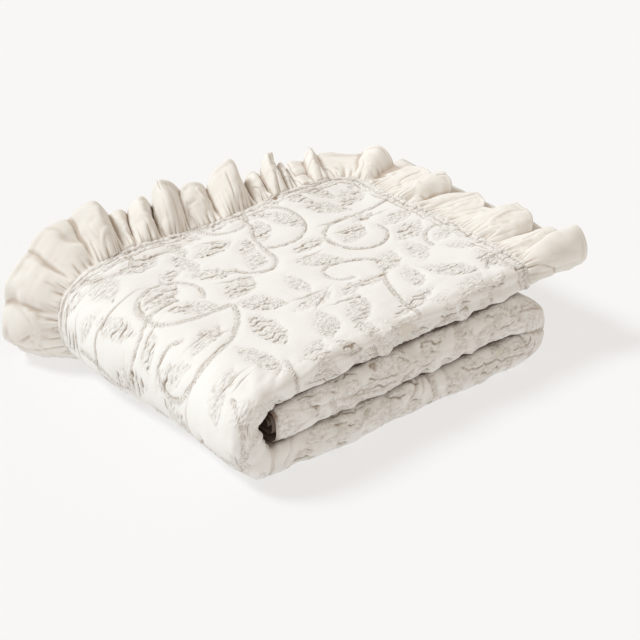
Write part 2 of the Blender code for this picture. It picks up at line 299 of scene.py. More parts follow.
# %% Lattice noise, layers and ridges
def soft_noise(a, b, size, seed):
    """Noise from -1 to 1 on a lattice of the given cell size, blended by 3f² - 2f³."""
    lattice = np.random.default_rng(seed).uniform(-1, 1, (64, 64))
    a, b = a / size, b / size
    i, j = np.floor(a).astype(int), np.floor(b).astype(int)
    f, g = a - i, b - j
    f, g = f * f * (3 - 2 * f), g * g * (3 - 2 * g)
    near = lattice[i % 64, j % 64] * (1 - f) + lattice[(i + 1) % 64, j % 64] * f
    far = lattice[i % 64, (j + 1) % 64] * (1 - f) + lattice[(i + 1) % 64, (j + 1) % 64] * f
    return near * (1 - g) + far * g


def layers(a, b, rows):
    """Sum of noises; each row has the size of its cells in mm, its height and its seed."""
    return sum(height * soft_noise(a, b, size * MM, seed) for size, height, seed in rows)


def ridge(x, middle, width):
    """Soft ridge of height 1: exp(-d²), where d is the distance from its middle over its width."""
    return np.exp(-(((x - middle) / width) ** 2))


three = np.array([0, 4, 8]) * MM
print("noise at 0, 4 and 8 mm:", soft_noise(three, 0 * three, 9 * MM, 3).round(2))

# %% [markdown]
# ## Grids that become meshes
#
# A mesh could be made from lists of vertices and faces, but foreach_set takes whole arrays and is
# much faster for grids of 80,000 quads. The UV map holds s and t in metres, so a weave in the
# material follows the cloth through every fold. The lines of a grid needn't be evenly spaced:
# lines() packs them where the detail is.

# %% Grid meshes
def grid_piece(name, points, s, t, tones, material):
    """Object from a grid of points: quads between neighbours, UVs from s and t, and one attribute
    for each tone."""
    rows, columns = points.shape[:2]
    corner = (np.arange(rows - 1)[:, None] * columns + np.arange(columns - 1)).ravel()
    quads = np.stack([corner, corner + 1, corner + columns + 1, corner + columns], axis=1)
    mesh = bpy.data.meshes.new(name)
    mesh.vertices.add(rows * columns)
    mesh.vertices.foreach_set("co", points.ravel())
    mesh.loops.add(quads.size)
    mesh.loops.foreach_set("vertex_index", quads.ravel())
    mesh.polygons.add(len(quads))
    mesh.polygons.foreach_set("loop_start", np.arange(0, quads.size, 4))
    mesh.update(calc_edges=True)
    lengths = np.stack([s, t], axis=-1).reshape(-1, 2)
    mesh.uv_layers.new(name="cloth").data.foreach_set("uv", lengths[quads.ravel()].ravel())
    for tone, values in tones.items():
        layer = mesh.attributes.new(tone, "FLOAT", "POINT")
        layer.data.foreach_set("value", np.ascontiguousarray(values, dtype=np.float32).ravel())
    mesh.materials.append(material)
    mesh.shade_smooth()
    piece = bpy.data.objects.new(name, mesh)
    bpy.context.collection.objects.link(piece)
    print("%s: %d triangles" % (name, 2 * len(quads)))
    return piece


def lines(*stretches):
    """Grid lines through the given (start, end, pitch) stretches, which follow one another."""
    marks = [np.array([stretches[0][0]])]
    for start, end, pitch in stretches:
        count = max(1, math.ceil((end - start) / pitch))
        marks.append(start + (end - start) * (np.arange(count) + 1) / count)
    return np.concatenate(marks)


print("20 mm, first close and then wide:", len(lines((0, 0.01, MM), (0.01, 0.02, 5 * MM))), "lines")

# %% [markdown]
# ## Finishes
#
# Both cloths are matt cotton. Their colours vary a little over the surface, and a bump gives what
# is too fine for the mesh: the faint bands of the weave, specks inside the leaves and the slubs of
# the plain strip. Node graphs are easier to read as arithmetic, so a small class wraps a socket:
# its operators add Math nodes, and node() makes any other one.

# %% A socket that can be added, multiplied and mixed
class Value:
    """Wraps a node socket; + - * make Math nodes in the same tree."""

    def __init__(self, tree, socket):
        self.tree = tree
        self.socket = socket

    def math(self, operation, other=None, clamp=False):
        """Math node on this value and another value or number."""
        inputs = {0: self} if other is None else {0: self, 1: other}
        settings = {"operation": operation, "use_clamp": clamp}
        return node(self.tree, "ShaderNodeMath", settings, inputs)

    def __add__(self, other):
        return self.math("ADD", other)

    def __mul__(self, other):
        return self.math("MULTIPLY", other)

    def __sub__(self, other):
        return self.math("SUBTRACT", other)

    def __rsub__(self, other):
        return (self * -1) + other

    __radd__ = __add__
    __rmul__ = __mul__


def node(tree, kind, settings=None, inputs=None, output=0):
    """Add a node of a kind, set its settings, then link or set its input sockets."""
    made = tree.nodes.new(kind)
    for key, value in (settings or {}).items():
        setattr(made, key, value)
    for key, value in (inputs or {}).items():
        if isinstance(value, Value):
            tree.links.new(value.socket, made.inputs[key])
        else:
            made.inputs[key].default_value = value
    return Value(tree, made.outputs[output])


def mix_colour(tree, share, first, second):
    """Blend two colours by a share from 0 to 1."""
    made = tree.nodes.new("ShaderNodeMix")
    made.data_type = "RGBA"
    tree.links.new(share.socket, made.inputs["Factor"])
    for key, colour in ((6, first), (7, second)):
        if isinstance(colour, Value):
            tree.links.new(colour.socket, made.inputs[key])
        else:
            made.inputs[key].default_value = (*colour, 1)
    return Value(tree, made.outputs[2])


print(Value.__doc__)

# %% [markdown]
# Both finishes start from the same shader: rough, with a little sheen, because the fuzz on cotton
# scatters light. The bands of the weave could be modelled, but they are far too faint for the
# mesh, so crossed sine waves stand for them in the bump.

# %% What the finishes share
def new_finish(name, roughness, sheen):
    """Material with one Principled shader whose constant sockets are set; gives tree and shader."""
    material = bpy.data.materials.new(name)
    material.use_nodes = True
    tree = material.node_tree
    shader = tree.nodes["Principled BSDF"]
    shader.inputs["Roughness"].default_value = roughness
    shader.inputs["Sheen Weight"].default_value = sheen
    shader.inputs["Sheen Roughness"].default_value = 0.5
    shader.inputs["Specular IOR Level"].default_value = 0.25
    return material, tree, shader


def weave_bands(tree, place, phase):
    """Faint bands of the weave: the sum of sines along both directions of the cloth, phase being
    radians per metre. A Wave node turns by 20 radians for each unit of its scale."""
    bands = []
    for direction in ("X", "Y"):
        settings = {"wave_type": "BANDS", "bands_direction": direction}
        inputs = {"Vector": place, "Scale": phase / 20, "Distortion": 0.6, "Detail": 1.0}
        bands.append(node(tree, "ShaderNodeTexWave", settings, inputs, 1))
    return bands[0] + bands[1]


def tone(tree, name):
    """One of the tones that the mesh carries as an attribute."""
    return node(tree, "ShaderNodeAttribute", {"attribute_name": name}, None, 2)


def speckle(tree, place, scale, detail):
    """Blender's noise, from 0 to 1, with scale cells per metre at the given place."""
    return node(tree, "ShaderNodeTexNoise", None, {"Vector": place, "Scale": scale, "Detail": detail})


def dress(tree, shader, colour, height, strength, distance):
    """Link a colour to the shader, and a height through a bump to its normal."""
    tree.links.new(colour.socket, shader.inputs["Base Color"])
    inputs = {"Strength": strength, "Distance": distance, "Height": height}
    normal = node(tree, "ShaderNodeBump", None, inputs)
    tree.links.new(normal.socket, shader.inputs["Normal"])


FACE_PHASE = 1300
PLAIN_PHASE = 1600
spacing = [2 * math.pi / phase / MM for phase in (FACE_PHASE, PLAIN_PHASE)]
print("bands of the weave: %.1f mm apart on the face, %.1f mm on plain cotton" % tuple(spacing))

# %% [markdown]
# The face's tones come with the mesh, and each darkens its colour as painted shade. Crevice shade
# is high in creases, pucker where the two cloths are bound, and shade deep between the bands. They
# could be painted as pictures, but tones that are worked out together with the shape always fit it.

# %% Face of the double weave
IVORY = ((0.855, 0.845, 0.82), (0.885, 0.878, 0.86))
PUCKER_SHADE_TONE = (0.80, 0.765, 0.71)
PIT_SHADE_TONE = (0.55, 0.49, 0.41)
CREASE_SHADE_TONE = (0.38, 0.285, 0.2)
DEEP_SHADE_TONE = (0.21, 0.13, 0.09)
DEEP_SHADE_SHARE = 0.9
SPECK_CELLS = (210.0, 470.0, 1.0)
PIT_LEVEL = 0.455
PIT_SHARPNESS = 9.0


def weave_finish():
    """Ivory face: painted shade from the mesh's tones, and specks, longer along s, where it is
    puckered, with painted shade in their pits.
    """
    material, tree, shader = new_finish("ivory_double_weave", 0.92, 0.15)
    place = node(tree, "ShaderNodeUVMap", {"uv_map": "cloth"})
    pucker = tone(tree, "pucker")
    long_cells = node(tree, "ShaderNodeMapping", None, {"Vector": place, "Scale": SPECK_CELLS})
    speck = speckle(tree, long_cells, 1.0, 2.0)
    # painted shade in the pits of the specks, where their bump is low
    pit_shade = (PIT_LEVEL - speck).math("MULTIPLY", PIT_SHARPNESS, clamp=True)
    colour = mix_colour(tree, speckle(tree, place, 22.0, 3.0), *IVORY)
    # painted shade: a faint darker tint where the face is bound and crinkled
    colour = mix_colour(tree, pucker * 0.06, colour, PUCKER_SHADE_TONE)
    colour = mix_colour(tree, pit_shade * pucker * 0.4, colour, PIT_SHADE_TONE)
    # painted shade: the colour darkens to brown in crevices and creases
    crevice_shade_share = tone(tree, "crevice_shade").math("MULTIPLY", 1.1, clamp=True)
    colour = mix_colour(tree, crevice_shade_share, colour, CREASE_SHADE_TONE)
    # painted shade deep between the bands and in the hollow of the wide bend
    colour = mix_colour(tree, tone(tree, "shade") * DEEP_SHADE_SHARE, colour, DEEP_SHADE_TONE)
    grain = speckle(tree, place, 420.0, 3.0)
    rough = (grain - 0.5) * (pucker * 0.5 + 0.14) + (speck - 0.5) * pucker * 1.6
    height = rough + weave_bands(tree, place, FACE_PHASE) * 0.012
    dress(tree, shader, colour, height, 0.7, 0.0016)
    return material


FACE_COTTON = weave_finish()
print("nodes in the face's finish:", len(FACE_COTTON.node_tree.nodes))

# %% [markdown]
# The panel's back and the ruffle are plain weaves. One function makes both: they differ only in
# their two tones, and in how rough and how slubby they are. Slubs are the thick places in a
# thread, so their noise is stretched along it.

# %% Plain cotton of the back and of the ruffle
FOLD_SHADE_TONE = (0.50, 0.40, 0.31)
SLUB_CELLS = (260.0, 34.0, 1.0)


def plain_finish(name, low, high, roughness, slub):
    """Plain-woven cotton: a blend of two close tones, painted shade in its folds and deep in the
    pack, with long slubs and bands as a bump.
    """
    material, tree, shader = new_finish(name, roughness, 0.12)
    place = node(tree, "ShaderNodeUVMap", {"uv_map": "cloth"})
    stretch = node(tree, "ShaderNodeMapping", None, {"Vector": place, "Scale": SLUB_CELLS})
    slubs = speckle(tree, stretch, 1.0, 3.0)
    colour = mix_colour(tree, speckle(tree, place, 30.0, 4.0) * 0.6 + slubs * 0.4, low, high)
    # painted shade: darker in the crevices of folds and pleats
    colour = mix_colour(tree, tone(tree, "crevice_shade") * 0.7, colour, FOLD_SHADE_TONE)
    # painted shade deep between the bands and in the hollow of the wide bend
    colour = mix_colour(tree, tone(tree, "shade") * DEEP_SHADE_SHARE, colour, DEEP_SHADE_TONE)
    height = slubs * slub + weave_bands(tree, place, PLAIN_PHASE) * 0.03
    dress(tree, shader, colour, height, 0.35, 0.0008)
    return material


BACK_COTTON = plain_finish("plain_back", (0.74, 0.70, 0.63), (0.80, 0.765, 0.70), 0.95, 0.3)
RUFFLE_COTTON = plain_finish("natural_ruffle", (0.83, 0.80, 0.752), (0.89, 0.868, 0.826), 0.88, 0.35)
print("finishes:", [m.name for m in bpy.data.materials])

# %% [markdown]
# ## The woven pattern
#
# The face carries beaded stems that curl round leaves, and more leaves fill the ground between
# them. It is an ordinary stem-and-leaf design. A stem could be a hand-drawn curve, but arcs keep
# it smooth and easy to change: it starts at a place with a heading, and each step of its walk is
# an arc with a radius and a turn.

# %% Stems
STEP = 2.0 * MM
PATTERN_TILE = np.array([420 * MM, 330 * MM])
STEMS = (
    # start s and t in mm, heading in degrees from s towards t, arcs of (radius in mm, turn)
    (277, 149, -6, ((400, 6), (26, -92), (200, -6), (31, -168), (24, -50))),
    (277, 149, 68, ((90, -30), (110, -28), (26, -185), (18, -50))),
    (234, 94, 95, ((24, 170), (200, -8), (60, -25), (45, 70))),
    (180, 80, 150, ((45, 130), (26, 50))),
    (122, 104, 75, ((32, 165), (20, 40))),
    (120, 97, 225, ((60, -45), (300, 12), (80, -20))),
    (152, 181, 10, ((17, -190), (60, -45))),
    (116, 184, 45, ((100, 40), (200, 10))),
    (46, 180, 275, ((25, -190), (60, 50))),
    (38, 264, 262, ((27, -170), (40, 60))),
    (392, 40, 95, ((80, -30), (30, 150), (60, -40))),
    (300, 262, 60, ((60, 60), (26, -200))),
    (110, 300, 20, ((70, 50), (28, -170), (60, 30))),
    (408, 215, 100, ((70, -30), (27, 190))),
)


def stem(start_s, start_t, heading, arcs):
    """Points and headings along one stem: each arc adds its turn evenly over its length."""
    turns = [np.array([math.radians(heading)])]
    for radius, turn in arcs:
        length = math.radians(abs(turn)) * radius * MM
        count = max(1, round(length / STEP))
        turns.append(np.full(count, math.radians(turn) / count))
    headings = np.cumsum(np.concatenate(turns))
    steps = np.stack([np.cos(headings), np.sin(headings)], axis=1) * STEP
    return np.cumsum(steps, axis=0) + np.array([start_s, start_t]) * MM, headings


STEM_LINES = [stem(*row) for row in STEMS]
print("stems: %d, together %.2f m" % (len(STEMS), sum(len(p) for p, _ in STEM_LINES) * STEP))

# %% [markdown]
# The leaves could be random everywhere, but the eye finds the main ones first, so those are placed
# one by one round the stems. A seeded scatter fills what is left of a pattern that then repeats: it
# tries random places, and keeps a leaf only where it is clear of the stems and of other leaves.

# %% Leaves
LEAVES = (
    # centre s and t, angle in degrees from s towards t, half length and half width in mm
    (362, 88, 97, 27, 8),
    (318, 92, 24, 25, 13),
    (224, 50, 4, 24, 10),
    (256, 90, 150, 23, 11),
    (252, 128, 28, 25, 14),
    (256, 166, 140, 24, 13),
    (281, 208, 82, 32, 13),
    (318, 243, 96, 31, 11),
    (360, 246, 30, 23, 10),
    (371, 179, 130, 21, 9),
    (331, 179, 28, 23, 9),
    (206, 160, 88, 19, 9),
    (206, 96, 40, 17, 10),
    (162, 48, 55, 25, 11),
    (126, 46, 102, 24, 11),
    (142, 103, 8, 24, 8),
    (158, 134, 152, 25, 12),
    (93, 112, 32, 24, 12),
    (74, 50, 145, 24, 13),
    (32, 112, 12, 26, 9),
    (44, 142, 20, 24, 12),
    (66, 178, 75, 20, 11),
    (104, 177, 35, 21, 12),
    (142, 197, 10, 24, 7),
    (216, 195, 8, 25, 8),
    (234, 238, 65, 27, 13),
    (192, 236, 55, 33, 13),
    (138, 262, 18, 36, 10),
    (66, 233, 125, 33, 14),
    (24, 240, 80, 24, 11),
    (300, 30, 8, 26, 11),
    (342, 38, 80, 24, 10),
    (392, 120, 100, 26, 10),
    (34, 40, 30, 24, 12),
    (400, 190, 60, 22, 10),
)
TRIES = 5000
HALF_LENGTHS = (15, 26)
SLIMNESS = (0.38, 0.5)
PROBES = (-0.9, -0.5, 0, 0.5, 0.9)
MIDDLE_ROOM = 5 * MM
PROBE_ROOM = 6 * MM
LEAF_CROWDING = 0.68
LEAF_ROOM = 3 * MM


def wrapped(gap):
    """Shortest difference between two places of the pattern, which repeats."""
    return (gap + PATTERN_TILE / 2) % PATTERN_TILE - PATTERN_TILE / 2


def scatter_leaves(rng, placed):
    """Leaves from the list, and then one wherever a random place has room beside stems and leaves."""
    stem_points = np.concatenate([points for points, _ in STEM_LINES])
    leaves = [(s * MM, t * MM, math.radians(a), h * MM, w * MM) for s, t, a, h, w in placed]
    for _ in range(TRIES):
        place = rng.uniform((0, 0), PATTERN_TILE)
        half = rng.uniform(*HALF_LENGTHS) * MM
        width = half * rng.uniform(*SLIMNESS)
        angle = rng.uniform(0, math.pi)
        tips = place + np.outer(PROBES, (math.cos(angle), math.sin(angle))) * half
        offsets = wrapped(stem_points[None] - tips[:, None])
        room = np.hypot(offsets[..., 0], offsets[..., 1]).min(axis=1)
        others = np.array(leaves)
        gaps = np.hypot(*wrapped(others[:, :2] - place).T)
        if room[2] < width + MIDDLE_ROOM or room.min() < PROBE_ROOM:
            continue
        if np.any(gaps < LEAF_CROWDING * (half + others[:, 3]) + LEAF_ROOM):
            continue
        leaves.append((place[0], place[1], angle, half, width))
    return leaves


ALL_LEAVES = scatter_leaves(np.random.default_rng(11), LEAVES)
print("leaves:", len(ALL_LEAVES))

# %% [markdown]
# The relief is one height over s and t. In stems and leaves the two cloths of the double weave
# are bound together and the face is crinkled; between them it stays smooth and puffs up. So the
# relief first needs to know how far each place is from the nearest stem and from the nearest
# leaf. Points are compared only inside each stem's own box, which keeps the arrays small.

# %% Where the cloths are bound
def nearest_stem(s, t):
    """Distance to the nearest stem's middle line, the length along it and the offset to its side."""
    nearest, along, side = np.full((3, s.size), 0.05)
    for points, headings in STEM_LINES:
        low, high = points.min(axis=0) - 12 * MM, points.max(axis=0) + 12 * MM
        middle, reach = (low + high) / 2, (high - low) / 2
        place = wrapped(np.stack([s.ravel(), t.ravel()], axis=1) - middle)
        inside = np.flatnonzero(np.all(np.abs(place) < reach, axis=1))
        for cells in np.array_split(inside, 1 + len(inside) // 20000):
            gaps = (place[cells] + middle)[:, None] - points[None]
            closest = (gaps ** 2).sum(axis=2).argmin(axis=1)
            gap = gaps[np.arange(len(cells)), closest]
            distance = np.hypot(gap[:, 0], gap[:, 1])
            cosine, sine = np.cos(headings[closest]), np.sin(headings[closest])
            better = distance < nearest[cells]
            chosen = cells[better]
            nearest[chosen] = distance[better]
            along[chosen] = (closest * STEP + cosine * gap[:, 0] + sine * gap[:, 1])[better]
            side[chosen] = (cosine * gap[:, 1] - sine * gap[:, 0])[better]
    return nearest.reshape(s.shape), along.reshape(s.shape), side.reshape(s.shape)


def leaf_gap(s, t):
    """Distance outside the nearest leaf, negative inside it: a lens whose sides are parabolas."""
    nearest = np.full(s.shape, 0.05)
    for leaf_s, leaf_t, angle, half, width in ALL_LEAVES:
        offset = wrapped(np.stack([s - leaf_s, t - leaf_t], axis=-1))
        along = (math.cos(angle) * offset[..., 0] + math.sin(angle) * offset[..., 1]) / half
        side = np.abs(math.cos(angle) * offset[..., 1] - math.sin(angle) * offset[..., 0])
        past = np.maximum(np.abs(along) - 1, 0) * half
        gap = np.hypot(side - width * np.clip(1 - along ** 2, 0, 1), past)
        gap = np.where((side < width * (1 - along ** 2)), -gap, gap)
        nearest = np.minimum(nearest, gap)
    return nearest


spots = np.meshgrid(np.linspace(0, STRIP_LENGTH, 120), np.linspace(0, CROSS_LENGTH, 180))
print("leaves cover %.0f%% of the cloth" % (100 * np.mean(leaf_gap(*spots) < 0)))

# %% [markdown]
# The crinkle is made of short dashes that all lie along s, because the weft has shrunk the other
# way, and of a few long wavy creases. It could be a bump, but the mesh would then be smooth.
# The lines of the grid are 1 mm apart, so dashes and creases are real geometry.

# %% Crinkle
DRIFT = (
    # cells in mm, height in mm, seed
    (9, 2.6, 3),
    (3.4, 0.9, 9),
)
DASH = (3.6 * MM, 1.6 * MM)
DASH_SLANT = 0.18
CREASE_PITCH = 8.4 * MM
CREASE_SLANT = 0.12
CREASE_DRIFT = 1.3
CREASE_SHARE = 0.23


def crinkle(s, t):
    """Height from about -1 to 1 of short dashes along s, and long sharp creases, from 0 to 1.

    A crease is a ridge where the sine of t over the pitch, with some drift, passes through zero.
    """
    drift = layers(s, t, DRIFT) * MM
    row = t + DASH_SLANT * s + drift
    dashes = 0.85 * soft_noise(s / DASH[0], row / DASH[1], 1.0, 4) + layers(s, t, [(4.4, 0.4, 12)])
    turns = (t + CREASE_SLANT * s + CREASE_DRIFT * drift) / CREASE_PITCH
    presence = swell(soft_noise(s / 2.6, t, 9 * MM, 10), -0.12, 0.3)
    return dashes, ridge(np.abs(np.sin(math.pi * turns)), 0, CREASE_SHARE) * presence


few = np.linspace(0, 40 * MM, 200)
print("deepest crease in 40 mm: %.2f" % crinkle(few, few)[1].max())

# %% [markdown]
# Along the sewn edges the panel is drawn in by its seam. Two broken furrows follow the edge there,
# and outside them the cloth swells into a rim. They could be rows of the creases' table, but the
# distance from the edge gives them all at once.

# %% Hem
INNER_FURROW = (13.5 * MM, 1.1 * MM)
OUTER_FURROW = (6 * MM, 0.9 * MM)
RIM = (3 * MM, 3 * MM)


def hem_furrows(border, s, t, ragged):
    """Two broken furrows at their distances from the sewn edge, and the rim outside them."""
    wander = border + 2.4 * MM * soft_noise(s, t, 19 * MM, 16) + 1.1 * MM * ragged
    broken = swell(soft_noise(s, t, 11 * MM, 17), -0.55, 0.5)
    inner = ridge(wander, *INNER_FURROW) * broken
    outer = ridge(wander, *OUTER_FURROW) * (0.35 + 0.65 * broken)
    return np.maximum(outer, inner), ridge(border, *RIM)


print("furrows lie %.1f and %.1f mm inside the edge" % (INNER_FURROW[0] / MM, OUTER_FURROW[0] / MM))

# %% [markdown]
# Now everything is blended into one height. Each part could be a mesh of its own, but cloth is
# continuous, so masks with ragged edges fade one height into the next. A stem is a row of slanted
# beads with a fine line on one side. Down the near faces, loose patches of crinkle take over.

# %% Relief
STEM_HALF_WIDTH = 1.9 * MM
BEAD_PITCH = 2.8 * MM
HEM_STRENGTH = 0.85
PATCH_STRENGTH = 0.85
PLAY = ((5, 2.4, 18), (2.2, 1.6, 19))
GROUND_LEVEL = 0.3
PUFF_REACH = 6 * MM
LEAF_LEVEL = 0.62
DASH_HEIGHT = 0.75
CREASE_DEPTH = 1.9
STEM_LEVEL = 0.3
BEAD_HEIGHT = 1.1
RIM_HEIGHT = 0.9
FURROW_DEPTH = 0.9


def stem_beads(s, t, gap, along, side):
    """Beads from 0 to 1, a cosine that slants across the stem, and the line at the stem's side."""
    turns = along / BEAD_PITCH + 0.5 * side / STEM_HALF_WIDTH
    beads = 0.5 + 0.5 * np.cos(2 * math.pi * turns + layers(s, t, PLAY))
    line = ridge(side, -STEM_HALF_WIDTH - 0.3 * MM, 0.7 * MM) * (gap < 2 * STEM_HALF_WIDTH)
    return beads, line * swell(soft_noise(s, t, 6 * MM, 23), -0.35, 0.5)


def relief(s, t):
    """Height of the face in metres, how puckered it is, and the painted shade of its creases and
    furrows.

    Each height is weighted by its mask: ground outside the bound places, crinkle inside them and
    beads on the stems. The ground puffs up as 1 - exp(-d), d being how far the nearest bound
    place is over the puff's reach.
    """
    ragged = soft_noise(s / 1.7, t, 2.0 * MM, 13)
    gap, along, side = nearest_stem(s, t)
    stem_edge = gap - STEM_HALF_WIDTH
    leaf_edge = leaf_gap(s, t)
    border = np.minimum(s, t)
    stems = 1 - swell(stem_edge + 0.9 * MM * ragged, -0.7 * MM, 1.4 * MM)
    leaves = 1 - swell(leaf_edge + 3.4 * MM * ragged, -2.4 * MM, 4.2 * MM)
    hem = HEM_STRENGTH * (1 - swell(border + 5 * MM * ragged, 8 * MM, 9 * MM))
    patches = swell(soft_noise(s / 1.5, t, 15 * MM, 28) + 0.12 * ragged, -0.2, 0.3)
    patches = PATCH_STRENGTH * patches * swell(t, NEAR_FOLD - 12 * MM, 16 * MM)
    bound = np.maximum(np.maximum(leaves, hem), patches)
    dashes, crease = crinkle(s, t)
    crease = crease * bound
    furrow, rim = hem_furrows(border, s, t, ragged)
    beads, edge_line = stem_beads(s, t, gap, along, side)
    free = np.clip(np.minimum(np.minimum(stem_edge, leaf_edge), border), 0, None)
    ground = GROUND_LEVEL + 1 - np.exp(-free / PUFF_REACH)
    ground = ground + 0.16 * soft_noise(s / 1.6, t, 8 * MM, 5) + 0.35 * soft_noise(s, t, 26 * MM, 6)
    crinkled = LEAF_LEVEL + DASH_HEIGHT * dashes - CREASE_DEPTH * crease
    beaded = STEM_LEVEL + BEAD_HEIGHT * beads + 0.5 * dashes
    height = (ground * (1 - bound) + crinkled * bound) * (1 - stems) + beaded * stems
    height = height + RIM_HEIGHT * rim - FURROW_DEPTH * furrow - 0.5 * edge_line
    # painted shade: darker in the creases, furrows, the stem's side line and between the beads
    crease_shade = np.maximum(np.maximum(crease, 0.5 * furrow), 0.7 * edge_line)
    crease_shade = np.maximum(crease_shade, 0.35 * stems * (1 - beads) ** 2)
    return height * MM, np.maximum(bound, stems), crease_shade


print("relief along 40 mm: %.2f mm at most" % (relief(few[:, None], few[:, None])[0].max() / MM))

# %% [markdown]
# ## The panel
#
# The double weave is two cloths bound together: a face that carries the relief, and a plain back.
# It could be one thick sheet, but then the relief would show on the back too. They meet at every
# edge, where the last millimetre and a half rounds over like the folded edge of a real panel.

# %% Edges and corners of the panel
EDGE_LINES = (0, 0.12 * MM, 0.45 * MM, 0.9 * MM, 1.4 * MM)


def panel_edge(s, t):
    """Round the back corner: inside its square a point keeps its direction and its larger share
    becomes the radius. Also gives each point's depth inside the nearest edge."""
    a = 1 - s / CORNER_RADIUS
    b = 1 - t / CORNER_RADIUS
    inside = (a > 0) & (b > 0)
    far = np.where(inside, np.maximum(a, b) / np.maximum(np.hypot(a, b), 1e-9), 1)
    depth = np.minimum(np.minimum(s, t), np.minimum(STRIP_LENGTH - s, CROSS_LENGTH - t))
    return CORNER_RADIUS * (1 - a * far), CORNER_RADIUS * (1 - b * far), depth


def edge_profile(depth):
    """Half round that the two cloths close to at an edge: the root of 1 - (1 - d)²."""
    share = np.clip(depth / (CLOTH / 2), 0, 1)
    return np.sqrt(1 - (1 - share) ** 2)


print("half round of an edge:", edge_profile(np.array(EDGE_LINES)).round(2))

# %% [markdown]
# Noise could make creases too, but the main ones give this pack its character, so they are placed
# one by one, in real sizes. Each is a long, soft trough or ridge, and all of them sway a little, as
# a crease in cloth does.

# %% Main creases
MAIN_CREASES = (
    # middle s and t, angle in degrees from s towards t, half length, half width and rise in mm
    (352, 70, 4, 24, 1.1, -1.6),
    (388, 68, -4, 24, 1.1, -1.8),
    (391, 34, 4, 20, 1.0, -1.4),
    (358, 131, 20, 14, 1.0, -1.3),
    (368, 160, 0, 12, 1.0, -1.1),
    (404, 118, 12, 20, 1.4, -1.0),
    (398, 205, -8, 26, 1.4, -1.0),
    (344, 204, 12, 24, 1.1, -1.3),
    (205, 196, 32, 20, 1.2, -1.1),
    (246, 115, -17, 16, 1.1, -1.8),
    (257, 135, -17, 11, 1.1, -1.5),
    (212, 116, -17, 11, 1.1, -1.5),
    (212, 184, -3, 15, 1.1, -1.6),
    (191, 213, -7, 15, 1.1, -1.6),
    (150, 195, 4, 15, 1.1, -1.6),
    (331, 176, 6, 14, 1.2, -1.6),
    (320, 183, -4, 10, 1.1, -1.4),
    (325, 91, 10, 13, 1.2, -1.6),
    (314, 98, 8, 10, 1.1, -1.4),
    (350, 248, 4, 14, 1.2, -1.6),
    (343, 257, 6, 10, 1.1, -1.4),
    (216, 37, -20, 12, 1.1, -1.4),
    (276, 26, 0, 13, 1.2, -1.4),
    (90, 81, -4, 18, 1.1, -1.6),
    (92, 103, -4, 14, 1.1, -1.6),
    (156, 120, 0, 12, 1.1, -1.5),
    (43, 92, -4, 12, 1.1, -1.4),
    (252, 26, 8, 26, 5.0, -2.0),
    (228, 32, -14, 18, 4.0, 1.4),
    (160, 24, 6, 22, 5.0, -1.5),
    (336, 262, 60, 22, 5.0, 1.8),
    (322, 276, 35, 16, 3.0, -1.4),
    (282, 284, 14, 22, 3.5, 1.6),
    (236, 290, -12, 26, 3.0, -1.6),
    (196, 286, 10, 26, 4.0, 1.5),
    (150, 292, -8, 24, 3.0, -1.5),
    (96, 288, 8, 28, 4.0, 1.4),
    (340, 306, 80, 11, 3.0, 2.0),
    (350, 312, 90, 12, 4.0, -2.4),
    (371, 314, 90, 12, 5.0, -4.6),
    (385, 308, 84, 14, 4.5, 2.6),
    (402, 314, 90, 12, 7.0, 3.4),
    (428, 310, 84, 12, 7.0, -2.2),
    (418, 298, 90, 24, 8.0, 2.6),
    (431, 298, 90, 26, 2.4, -2.6),
    (450, 302, 55, 18, 3.0, -1.3),
    (1024, 299, -7, 30, 1.3, -0.9),
    (1018, 303, -7, 32, 2.6, 1.3),
    (1080, 291, -12, 26, 1.1, -0.6),
    (1092, 304, 16, 22, 1.1, -0.6),
    (1060, 310, -5, 30, 2.4, 1.1),
    (960, 289, 4, 48, 5.0, -1.5),
    (900, 300, -10, 26, 3.0, 1.4),
    (850, 292, 10, 24, 3.0, -1.4),
    (606, 309, 44, 12, 1.8, -1.2),
    (616, 308, 62, 10, 1.8, -1.0),
    (598, 312, 24, 18, 2.5, 1.7),
    (763, 297, 90, 20, 6.0, 1.5),
    (776, 298, 90, 24, 2.2, -3.0),
    (789, 297, 90, 20, 6.0, 1.5),
    (655, 300, -10, 30, 3.0, 1.4),
    (700, 302, 12, 24, 3.0, -1.4),
    (530, 300, 8, 34, 3.5, 1.4),
    (560, 288, -6, 30, 3.0, -1.3),
)
CREASE_SWAY = 1.2 * MM


def creases(s, t):
    """Troughs and ridges from the table: each is rise times exp(-(along / length)² - (side /
    width)²).
    """
    total = np.zeros_like(s)
    sway = CREASE_SWAY * soft_noise(s, t, 7 * MM, 24)
    for crease_s, crease_t, angle, length, width, rise in MAIN_CREASES:
        offset_s, offset_t = s - crease_s * MM, t - crease_t * MM
        cosine, sine = math.cos(math.radians(angle)), math.sin(math.radians(angle))
        along = (cosine * offset_s + sine * offset_t) / (length * MM)
        side = (cosine * offset_t - sine * offset_s + sway) / (width * MM)
        total += rise * MM * np.exp(-along ** 2 - side ** 2)
    return total


print("creases by hand:", len(MAIN_CREASES))

# %% [markdown]
# Besides the creases, the cloth undulates: broadly on the runs and more strongly down the near
# faces. Each near face has two lips, where it turns into the bands, and these are wavy. A
# simulation would find such waves too, but not where they are wanted.

# %% Rumple
BROAD = ((52, 1.2, 8), (23, 0.35, 25))
LIP_DEPTH = 8 * MM
LOWER_WAVES = 2.1
UPPER_WAVES = 1.5
CALM_SHARE = 0.7
CALM_WIDTH = 20 * MM
CALM_STOP = STRIP_LENGTH - 0.37


